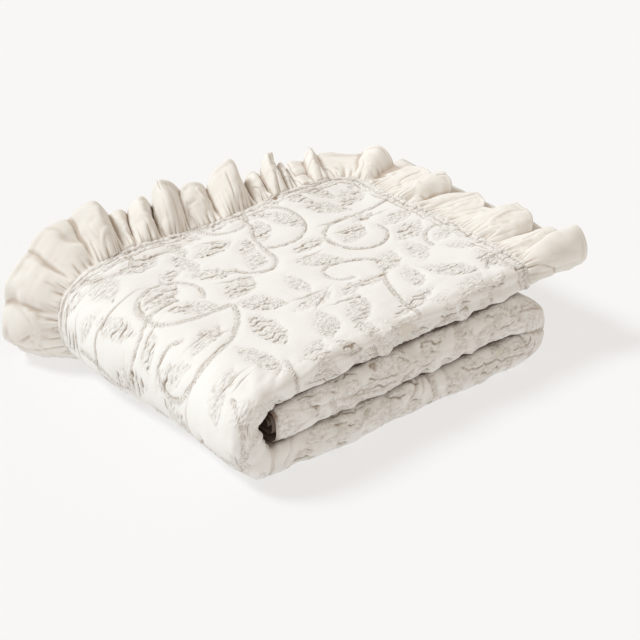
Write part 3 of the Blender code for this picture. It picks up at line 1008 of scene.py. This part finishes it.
def rumple(s, t):
    """Soft unevenness in metres: broad layers, rolling near faces, and two wavy lips, the upper
    one calmer along the bottom band."""
    face = swell(t, NEAR_FOLD - 12 * MM, 20 * MM) * (1 - swell(t, NEAR_FOLD_END - 6 * MM, 16 * MM))
    rolling = 1.6 * soft_noise(s, t * 0.5, 21 * MM, 14) + 0.6 * soft_noise(s, t, 9 * MM, 15)
    calm = swell(s, C_BEND_END - CALM_WIDTH, CALM_WIDTH) * (1 - swell(s, CALM_STOP, CALM_WIDTH))
    lower = LOWER_WAVES * ridge(t, NEAR_FOLD_END - LIP_DEPTH, LIP_DEPTH)
    upper = UPPER_WAVES * ridge(t, NEAR_FOLD + LIP_DEPTH, LIP_DEPTH) * (1 - CALM_SHARE * calm)
    waves = lower * soft_noise(s, 0 * s, 13 * MM, 26) + upper * soft_noise(s, 0 * s, 17 * MM, 27)
    return (layers(s, t, BROAD) + face * rolling + waves) * MM + creases(s, t)


print("rumple along 40 mm of the top: %.2f mm at most" % (rumple(few, few).max() / MM))

# %% [markdown]
# Light bounces many times between ivory plies, and each bounce makes it warmer, so the grooves
# between the bands and the hollow of the wide bend look brown. A render needs many bounces for
# that. A tone that says how deep a place lies gives it at once, as painted shade.

# %% Shade deep in the folds
DEEP = 60 * MM
HOLLOW_RADIUS = BAND - OUTER_LEVEL + 3 * MM
GROOVE_SHARE = 0.75


def deep_shade(points, s, t):
    """How far the cloth lies in a groove between the bands, or in the hollow of the C bend: each
    is a smooth step into the depth, faded out where nothing shows."""
    lower = swell(t, NEAR_FOLD_END - 7 * MM, 10 * MM) * (1 - swell(t, NEAR_FOLD_END + DEEP, DEEP))
    upper = (1 - swell(t, NEAR_FOLD - 3 * MM, 9 * MM)) * swell(t, NEAR_FOLD - 2 * DEEP, DEEP)
    upper = upper * swell(s, C_BEND_END + STRIP[2][0] + STRIP[3][0], 10 * MM)
    x, y, z = np.moveaxis(points - PACK_TO_FRAME, -1, 0)
    middle = np.interp(HALF_BAND + BAND, *np.array(BAND_HEIGHTS).T * MM)
    fades = 1 - swell(y, 3 * DEEP, DEEP)
    hollow = 1 - swell(np.hypot(x - C_BEND_X, z - middle), HOLLOW_RADIUS, 3 * MM)
    hollow = hollow * swell(y, 8 * MM, 10 * MM) * fades
    end = swell(s, STRIP_LENGTH - 5 * MM, 3 * MM) * swell(y, 1 * MM, 6 * MM) * fades
    return np.maximum(np.maximum(GROOVE_SHARE * np.maximum(lower, upper), hollow), end)


print("radius of the hollow in the wide bend: %.1f mm" % (HOLLOW_RADIUS / MM))

# %% [markdown]
# A piece of the face is a grid whose points are lifted by the relief and the rumple, and then
# folded. The relief fades out where the cloth is hidden, so that hidden plies can't touch. Its
# tones are measured on the same grid: a place that lies below its neighbours gets painted shade.

# %% A piece of the face
FACE_LEVEL = CLOTH / 2 - 0.75 * MM
RUMPLE_EASE = 25 * MM
NEAR_FACE_CALM = 0.2


def cavity(height, deep, passes):
    """How far each point lies below the mean of its neighbours on the grid, 1 at the given depth."""
    around = height.copy()
    for _ in range(passes):
        padded = np.pad(around, 1, mode="edge")
        around = (padded[:-2, 1:-1] + padded[2:, 1:-1] + padded[1:-1, :-2] + padded[1:-1, 2:]) / 4
    return np.clip((around - height) / deep, 0, 1)


def face_piece(name, s_lines, t_lines, hidden_from):
    """Face cloth over a grid of lines, raised by its relief and rumple where it shows."""
    s, t = np.meshgrid(s_lines, t_lines, indexing="ij")
    height, bound, crease_shade = relief(s, t)
    shows = 1 - swell(t, NEAR_FOLD_END, 6 * MM)
    shows = shows * (1 - swell(s, hidden_from, 6 * MM) * (1 - swell(t, NEAR_FOLD - 22 * MM, 8 * MM)))
    round_s, round_t, depth = panel_edge(s, t)
    uneven = rumple(s, t)
    lift = FACE_LEVEL + shows * height + swell(depth, 0, RUMPLE_EASE) * uneven * shows
    points = fold(round_s, round_t, edge_profile(depth) * lift)
    # painted shade where the face lies below its neighbours, a little lighter down the near faces
    crevice_shade = np.maximum(cavity(height, 1.0 * MM, 3) + 0.55 * cavity(uneven, 0.5 * MM, 4), crease_shade)
    crevice_shade = crevice_shade * shows * (1 - NEAR_FACE_CALM * swell(t, NEAR_FOLD - 8 * MM, 14 * MM))
    tones = {"crevice_shade": crevice_shade, "pucker": bound * shows, "shade": deep_shade(points, s, t)}
    return grid_piece(name, points, s, t, tones, FACE_COTTON)


print("the face lies %.2f mm above the middle of the cloth" % (FACE_LEVEL / MM))

# %% [markdown]
# The face could be one grid, but that would be heavy. It is split into four along the strip, each
# under 200,000 triangles: two for the top, one for the wide bend and one for the rest. The last is
# mostly hidden, so its lines are further apart. Across the strip the lines are close only down to
# the end of the near face.

# %% Face of the panel
FINE_S = 1.0 * MM
FINE_T = 0.82 * MM
HIDDEN_S = 2.0 * MM
BEND_T = 1.6 * MM
PLAIN_T = 14 * MM
LYING_PLAIN_T = 9 * MM
SHOWN_UNTIL = NEAR_FOLD_END + 8 * MM
LYING_FROM = NEAR_FOLD - 26 * MM
TOP_HALF = STRIP[0][0] / 2
TOP_END = STRIP[0][0] - 4 * MM
BEND_END = C_BEND_END + 12 * MM


def with_edge(marks):
    """Grid lines that start with the close ones of the rounded edge."""
    return np.concatenate([EDGE_LINES[:-1], marks])


ply_stretches = []
at = NEAR_FOLD_END
for length, turn in CROSS[4:]:
    ply_stretches.append((at, at + length, BEND_T if turn else PLAIN_T))
    at += length
ply_stretches[0] = (SHOWN_UNTIL, ply_stretches[0][1], PLAIN_T)
fine_t = (LYING_FROM, SHOWN_UNTIL, FINE_T)
shown_t = with_edge(lines((EDGE_LINES[-1], SHOWN_UNTIL, FINE_T), *ply_stretches))
lying_t = with_edge(lines((EDGE_LINES[-1], LYING_FROM, LYING_PLAIN_T), fine_t, *ply_stretches))
FACE_PIECES = (
    # name, lines along s, lines across t, s past which only the near face shows
    ("panel_face_right", with_edge(lines((EDGE_LINES[-1], TOP_HALF, FINE_S))), shown_t, STRIP_LENGTH),
    ("panel_face_left", lines((TOP_HALF, TOP_END, FINE_S)), shown_t, STRIP_LENGTH),
    ("panel_face_bend", lines((TOP_END, BEND_END, FINE_S)), shown_t, STRIP_LENGTH),
    ("panel_face_under", lines((BEND_END, STRIP_LENGTH, HIDDEN_S)), lying_t, BEND_END),
)
face_pieces = [face_piece(*row) for row in FACE_PIECES]

# %% [markdown]
# The back shows only in the folds and at the edges, so its grid is coarse: it needs close lines
# only where it bends. Its s lines run the other way round, which turns its faces outwards.

# %% Back of the panel
BACK_LEVEL = 0.92 * CLOTH / 2


def chain_lines(line, sections, straight, bent):
    """Grid lines along a chain: one pitch on its runs and a closer one on its bends."""
    starts = line[:, 0]
    pitches = [bent if turn else straight for _, turn in sections]
    ends = [start + length for start, (length, _) in zip(starts, sections)]
    marks = lines(*zip(starts, ends, pitches))
    return with_edge(marks[marks >= EDGE_LINES[-1]])


back_s = chain_lines(STRIP_LINE, STRIP, 12 * MM, 4 * MM)
back_t = chain_lines(CROSS_LINE, CROSS, 12 * MM, 1.5 * MM)
s, t = np.meshgrid(back_s[::-1], back_t, indexing="ij")
round_s, round_t, depth = panel_edge(s, t)
back_points = fold(round_s, round_t, -BACK_LEVEL * edge_profile(depth))
back_tones = {"shade": deep_shade(back_points, s, t)}
panel_back = grid_piece("panel_back", back_points, s, t, back_tones, BACK_COTTON)

# %% [markdown]
# ## The ruffle
#
# The ruffle is a strip longer than the edge it is sewn to. Its stitches gather it into many small
# pleats, and further out those join into a few broad waves. The broad waves could come from
# noise, but their crests are what the eye follows, so each has a row in a table: where it is, how
# steeply the cloth leaves the edge and reaches the hem, how far it leans, and how wide it is.

# %% Broad waves of the hem
TOP_WAVES = (
    # at, slope at the root, slope at the hem in degrees, lean in mm, width
    (-300, -2, 0, 0, 0.80),
    (-286, 22, 0, -4, 1.00),
    (-266, 30, -6, -12, 1.04),
    (-253, -2, 0, -18, 0.86),
    (-234, 12, 0, -16, 0.84),
    (-209, -3, 0, -12, 0.62),
    (-172, 42, -8, -28, 0.80),
    (-154, 10, 0, -26, 0.74),
    (-136, -2, 0, -14, 0.64),
    (-110, 4, 0, -22, 0.80),
    (-98, 14, -6, -27, 0.80),
    (-91, -3, 0, -12, 0.60),
    (-74, 42, -10, -16, 0.74),
    (-56, 10, 0, -16, 0.68),
    (-42, 14, 0, -12, 0.72),
    (-31, 10, 0, -8, 0.68),
    (-24, -4, 0, 0, 0.55),
    (-17, 42, 6, 8, 0.64),
    (-6, 4, 4, 4, 0.72),
    (8, 2, 6, 0, 0.76),
    (20, -2, 8, -6, 0.74),
    (28, 34, 0, -18, 0.76),
    (34, 44, -8, -24, 0.72),
    (43, -4, 10, -22, 0.62),
    (54, 18, 0, -18, 0.66),
    (64, -4, 4, -18, 0.60),
    (72, 32, 0, -18, 0.64),
    (77, 0, 10, -18, 0.62),
    (83, 50, 6, -20, 0.78),
    (91, 54, 10, -19, 0.76),
    (99, -2, 12, -18, 0.64),
    (110, 36, -6, -18, 0.68),
    (120, -4, 6, -16, 0.58),
    (140, 68, 8, -18, 0.86),
    (165, 2, 14, -18, 0.72),
    (181, 46, 6, -16, 0.80),
    (206, 26, 28, -20, 0.74),
    (225, 68, 12, -18, 0.94),
    (241, 0, 14, -24, 0.74),
    (256, 60, 8, -20, 0.78),
    (271, 4, 14, -24, 0.78),
    (279, 26, 16, -22, 0.80),
    (287, 4, 30, -20, 0.80),
    (305, 68, 14, -12, 0.94),
    (322, 20, 28, -8, 0.88),
    (334, 44, 10, -2, 0.94),
    (345, 30, 18, 0, 0.88),
    (359, 48, 8, 2, 0.90),
    (372, 34, 16, 0, 0.86),
    (386, 54, 16, 2, 0.92),
    (397, 38, 18, 0, 0.88),
    (408, 32, 10, 2, 0.96),
    (421, 4, 8, 0, 0.94),
    (432, 0, 0, 0, 0.88),
)
print("crests and valleys along the top: %d" % len(TOP_WAVES))

# %% [markdown]
# Where the ruffle is hidden, a loop makes its table. Between two rows the wave is a half cosine.
# A plain cosine would look like corrugated sheet, so it is raised to a power under 1, which gives
# round crests and valleys that are pinched to a V.

# %% From tables to waves
CREST_POWER = 0.36


def even_waves(start, end, spacing, crest, valley):
    """Table of waves where none shows: evenly spaced, with some play in place and slope."""
    count = 2 * round((end - start) / spacing / 2)
    rows = []
    for k in range(count + 1):
        play = math.sin(2.4 * k) if 0 < k < count else 0
        at = start + (end - start) * (k + 0.25 * play) / count
        slope = valley if k % 2 else crest * (0.75 + 0.25 * math.cos(1.7 * k))
        rows.append((at / MM, slope, slope, 0, 0.9 + 0.04 * math.cos(2.1 * k)))
    return rows


def wave(rows, at):
    """Slopes at root and hem, lean and width along the edge: a half cosine between two rows,
    raised to a power from the valley's side."""
    table = np.array(rows, float) * (MM, 1, 1, MM, 1)
    index = np.clip(np.searchsorted(table[:, 0], at, side="right") - 1, 0, len(table) - 2)
    low, high = table[index], table[index + 1]
    share = np.clip((at - low[..., 0]) / (high[..., 0] - low[..., 0]), 0, 1)
    blend = (1 - np.cos(math.pi * share)) / 2
    climbs = high[..., 1] > low[..., 1]
    blend = np.where(climbs, blend ** CREST_POWER, 1 - (1 - blend) ** CREST_POWER)
    mixed = low + (high - low) * blend[..., None]
    return np.radians(mixed[..., 1]), np.radians(mixed[..., 2]), mixed[..., 3], mixed[..., 4]


print("steepest crest: %.0f degrees" % max(row[1] for row in TOP_WAVES))

# %% [markdown]
# The ruffle hangs on four stretches of the panel's edge. Each is a small function that gives the
# root's place on the flat cloth and the way out of it, so that one function can gather them all.

# %% Edges that carry the ruffle
def top_edge(at):
    """Round the back corner: root lengths s and t, and the way out of the cloth."""
    half_arc = math.pi * CORNER_RADIUS / 4
    angle = np.clip((at + half_arc) / CORNER_RADIUS, 0, math.pi / 2)
    s = CORNER_RADIUS * (1 - np.cos(angle)) + np.maximum(at - half_arc, 0)
    t = CORNER_RADIUS * (1 - np.sin(angle)) + np.maximum(-at - half_arc, 0)
    return s, t, -np.cos(angle), -np.sin(angle)


def side_edge(at):
    """Outer side edge of the strip, out of the cloth towards plus Y."""
    return at, np.zeros_like(at), np.zeros_like(at), -np.ones_like(at)


def inner_edge(at):
    """Side edge of the sixth ply, out of the cloth towards plus Y."""
    return at, np.full_like(at, CROSS_LENGTH), np.zeros_like(at), np.ones_like(at)


def end_edge(at):
    """End edge on top, at lengths across the strip, out of the cloth towards plus X."""
    return np.zeros_like(at), at, -np.ones_like(at), np.zeros_like(at)


print("sewn edge on top: %.2f m" % ((TOP_WAVES[-1][0] - TOP_WAVES[0][0]) * MM))

# %% [markdown]
# Close to its stitches the ruffle is full of small pleats, sharp in their valleys and nearly
# straight. Folded noise, the root of its absolute value, has just such valleys. Past the pleats
# the thin cloth is crumpled: soft dents, and a few sharp lines that run outwards.

# %% Gathers and crumple
GATHERS = (
    # spacing in mm, height in mm, how far out the pleats run, as a share of the width
    (15.0, 2.3, 0.60),
    (7.0, 1.9, 0.34),
    (3.6, 1.0, 0.20),
)
PLEAT_RUN = 55 * MM
DENTS = ((21, 1.5, 0), (8, 0.55, 1))
RIDGES = (19 * MM, 1.2, 0.10)
VALLEYS = (17 * MM, 1.3, 0.07)


def gathers(at, across, seed):
    """Small pleats: folded noise of three spacings, sharp in its valleys and nearly straight
    outwards, each pleat as long as its own random length and dying away as exp(-(d / length)²)."""
    total = np.zeros_like(at)
    for number, (spacing, height, reach) in enumerate(GATHERS):
        own = soft_noise(at, 0 * at, 1.6 * spacing * MM, seed + 20 + number)
        length = RUFFLE_WIDTH * reach * (0.75 + 0.45 * own)
        fork = soft_noise(at / (0.62 * spacing * MM), across / PLEAT_RUN, 1.0, seed + number)
        pleat = 1.9 * np.abs(fork) ** 0.75 - 0.8
        total += height * MM * pleat * np.exp(-((across / length) ** 2))
    return total * swell(across, 0.0, 4 * MM)


def crumple(at, across, seed):
    """Soft dents, and sharp ridges and valleys that run outwards where a stretched noise is near
    zero; ridges and valleys keep to their own places."""
    dents = layers(at, across, [(size, height, seed + number) for size, height, number in DENTS])
    valley = soft_noise(at / VALLEYS[0], across / PLEAT_RUN, 1.0, seed + 2)
    crest = soft_noise(at / RIDGES[0], across / PLEAT_RUN, 1.0, seed + 4)
    here = swell(soft_noise(at, across, 24 * MM, seed + 3), -0.2, 0.4)
    raised = RIDGES[1] * ridge(crest, 0, RIDGES[2]) * (1 - here)
    sunk = VALLEYS[1] * ridge(valley, 0, VALLEYS[2]) * here
    return (dents + raised - sunk) * MM * swell(across, 5 * MM, 28 * MM)


print("pleats: %s mm apart" % ", ".join("%.1f" % row[0] for row in GATHERS))

# %% [markdown]
# One function makes every strip. It bends the cloth evenly from its slope at the root to its slope
# at the hem, adds pleats, crumple and flutter along the cloth's own normal, and then folds the
# whole with the pack. A Solidify modifier gives the thin cloth its thickness.

# %% Gathered strip
RUFFLE_THICKNESS = 0.7 * MM
ROOT_TUCK = 1.0 * MM
HEM_WIDTH = 5 * MM
HEM_RAISE = 0.35 * MM
FLUTTER = (11 * MM, 1.8 * MM)
SWERVE = (14 * MM, 2.0 * MM)
ROOT_CROWDING = 1.15
LEAN_POWER = 1.3


def ruffle_piece(name, edge, waves, pitch, rows, scale, seed):
    """Strip from the root to the hem: an arc whose heading goes from the slope at the root to the
    slope at the hem, with pleats, crumple and flutter standing on it along its normal."""
    marks = np.arange(waves[0][0] * MM, waves[-1][0] * MM, pitch)
    at, share = np.meshgrid(marks, np.linspace(0, 1, rows) ** ROOT_CROWDING, indexing="ij")
    s, t, out_s, out_t = edge(at)
    root_slope, hem_slope, lean, width = wave(waves, at)
    width = RUFFLE_WIDTH * width
    out, lift = advance(root_slope, (hem_slope - root_slope) / width, width * share)
    slope = root_slope + (hem_slope - root_slope) * share
    across = share * RUFFLE_WIDTH
    flutter = FLUTTER[1] * soft_noise(at, 0 * at, FLUTTER[0], seed + 6) * swell(share, 0.6, 0.4)
    hem = HEM_RAISE * swell(across, RUFFLE_WIDTH - HEM_WIDTH, 1.2 * MM)
    pleats = scale * (gathers(at, across, seed) + crumple(at, across, seed + 10) + flutter) + hem
    out = out - pleats * np.sin(slope) - ROOT_TUCK * (1 - share)
    swerve = scale * SWERVE[1] * soft_noise(at, across, SWERVE[0], seed + 7) * share
    aside = lean * share ** LEAN_POWER + swerve
    s, t = s + out * out_s - aside * out_t, t + out * out_t + aside * out_s
    points = fold(s, t, lift + pleats * np.cos(slope))
    points[..., 2] = np.maximum(points[..., 2], RUFFLE_THICKNESS / 2)
    # painted shade: the ruffle darkens where it lies below its neighbours, in valleys and pleats
    broad, fine = cavity(lift + pleats, 0.9 * MM, 8), cavity(pleats, 0.45 * MM, 3)
    piece = grid_piece(name, points, at, across, {"crevice_shade": np.maximum(broad, fine)}, RUFFLE_COTTON)
    wall = piece.modifiers.new("thickness", "SOLIDIFY")
    wall.thickness = RUFFLE_THICKNESS
    wall.offset = 0
    return piece


lying = even_waves(C_BEND_END + 2 * MM, C_BEND_END + STRIP[2][0], 26 * MM, -6.6, 0.4)
rising = even_waves(C_BEND_END + STRIP[2][0], STRIP_LENGTH, 26 * MM, 4.1, -3.3)
hidden = even_waves(8 * MM, STRIP_LENGTH, 27 * MM, 3.7, -3.7)
tucked = even_waves(324 * MM, CROSS_LENGTH, 70 * MM, 0.57, -0.57)
RUFFLES = (
    # solid, edge, waves, pitch, rows, share of the pleats, seed, flat length in m
    ("ruffle_top", top_edge, TOP_WAVES, 0.95 * MM, 54, 1.0, 30, 0.95),
    ("ruffle_base", side_edge, lying + rising[1:], 3 * MM, 20, 0.5, 50, 0.76),
    ("ruffle_inner", inner_edge, hidden, 3 * MM, 20, 0.5, 70, 1.15),
    ("ruffle_end", end_edge, tucked, 4 * MM, 14, 0.2, 90, 1.40),
)
ruffles = {row[0]: ruffle_piece(row[0] + "_cloth", *row[1:7]) for row in RUFFLES}

# %% [markdown]
# ## Which solids the pieces stand for
#
# Every piece rides on the one body, and the solid that it replaces is hidden.

# %% Pieces on the body
FACE_WIDTHS = (TOP_HALF, TOP_END - TOP_HALF, BEND_END - TOP_END, STRIP_LENGTH - BEND_END)
for piece, width in zip(face_pieces + [panel_back], FACE_WIDTHS + (STRIP_LENGTH,)):
    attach(piece, "root")
    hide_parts("panel")
for row in RUFFLES:
    solid, flat_length = row[0], row[-1]
    piece = ruffles[solid]
    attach(piece, "root")
    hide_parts(solid)
print("pieces on the body:", len(face_pieces) + 1 + len(ruffles))

# %% [markdown]
# ## Floor, light and camera
#
# The pack lies on a pale floor. A floor that only reflects would have heavy shadows, so this one
# also glows a little, as if more lamps stood round it.

# %% Floor
FLOOR_HALF = 9
FLOOR_GREY = (0.306, 0.308, 0.31, 1)
FLOOR_GLOW = (1.0, 0.99, 0.98, 1)
GLOW_STRENGTH = 0.609

floor_corners = [(x * FLOOR_HALF, y * FLOOR_HALF, 0) for x, y in ((-1, -1), (1, -1), (1, 1), (-1, 1))]
floor_mesh = bpy.data.meshes.new("floor")
floor_mesh.from_pydata(floor_corners, [], [(0, 1, 2, 3)])
floor = bpy.data.objects.new("floor", floor_mesh)
bpy.context.collection.objects.link(floor)
paper, _, paper_shader = new_finish("pale_paper", 0.9, 0.0)
paper_shader.inputs["Base Color"].default_value = FLOOR_GREY
paper_shader.inputs["Emission Color"].default_value = FLOOR_GLOW
paper_shader.inputs["Emission Strength"].default_value = GLOW_STRENGTH
floor_mesh.materials.append(paper)
print("floor: %d m wide" % (2 * FLOOR_HALF))

# %% [markdown]
# The light is broad and comes from the upper left. An area lamp would do, but a sun lamp with a
# wide angle has the same soft shadows and lights the floor evenly. A warm sky fills the shade.

# %% Light
SKY_COLOUR = (1.0, 0.905, 0.805, 1)
SKY_STRENGTH = 0.625
SUN_FROM = np.array([-0.42, 0.50, 0.75])
SUN_ENERGY = 2.04
SUN_ANGLE = 16
SUN_COLOUR = (0.88, 0.95, 1.0)

world = bpy.data.worlds.new("soft_sky")
world.use_nodes = True
world.node_tree.nodes["Background"].inputs["Color"].default_value = SKY_COLOUR
world.node_tree.nodes["Background"].inputs["Strength"].default_value = SKY_STRENGTH
bpy.context.scene.world = world
bpy.context.scene.view_settings.view_transform = "Standard"


def facing(direction):
    """Matrix whose z axis points along a direction, as a lamp or a camera looks down its minus z."""
    z = np.array(direction) / np.linalg.norm(direction)
    x = np.cross((0, 0, 1), z)
    x = x / np.linalg.norm(x)
    y = np.cross(z, x)
    turned = Matrix.Identity(4)
    for row in range(3):
        turned[row][0], turned[row][1], turned[row][2] = x[row], y[row], z[row]
    return turned


lamp = bpy.data.lights.new("broad_lamp", "SUN")
lamp.energy = SUN_ENERGY
lamp.angle = math.radians(SUN_ANGLE)
lamp.color = SUN_COLOUR
sun = bpy.data.objects.new("broad_lamp", lamp)
sun.matrix_world = facing(SUN_FROM)
bpy.context.collection.objects.link(sun)
print("lamp: %d degrees wide" % SUN_ANGLE)

# %% [markdown]
# The camera looks down at about thirty degrees onto the near corner, from two metres away. A long
# lens from there keeps the pack's edges nearly parallel, as in a picture for a catalogue.

# %% Camera
CAMERA_AZIMUTH = -40.39
CAMERA_ELEVATION = 29.9
CAMERA_DISTANCE = 2.183
CAMERA_TARGET = np.array([0.2118, 0.1381, 0.048]) + PACK_TO_FRAME
FOCAL_PIXELS = 2200
PICTURE_PIXELS = 640
SENSOR_WIDTH = 36

azimuth, elevation = math.radians(CAMERA_AZIMUTH), math.radians(CAMERA_ELEVATION)
level = np.array([math.sin(azimuth), -math.cos(azimuth), 0]) * math.cos(elevation)
toward_camera = level + np.array([0, 0, math.sin(elevation)])
lens = bpy.data.cameras.new("camera")
lens.lens = FOCAL_PIXELS * SENSOR_WIDTH / PICTURE_PIXELS
camera = bpy.data.objects.new("camera", lens)
moved = Matrix.Translation(CAMERA_TARGET + CAMERA_DISTANCE * toward_camera)
camera.matrix_world = moved @ facing(toward_camera)
bpy.context.collection.objects.link(camera)
bpy.context.scene.camera = camera
print("lens: %.1f mm" % lens.lens)

# %% [markdown]
# The dressed cloth should fill the box of the solids, and no more than that.
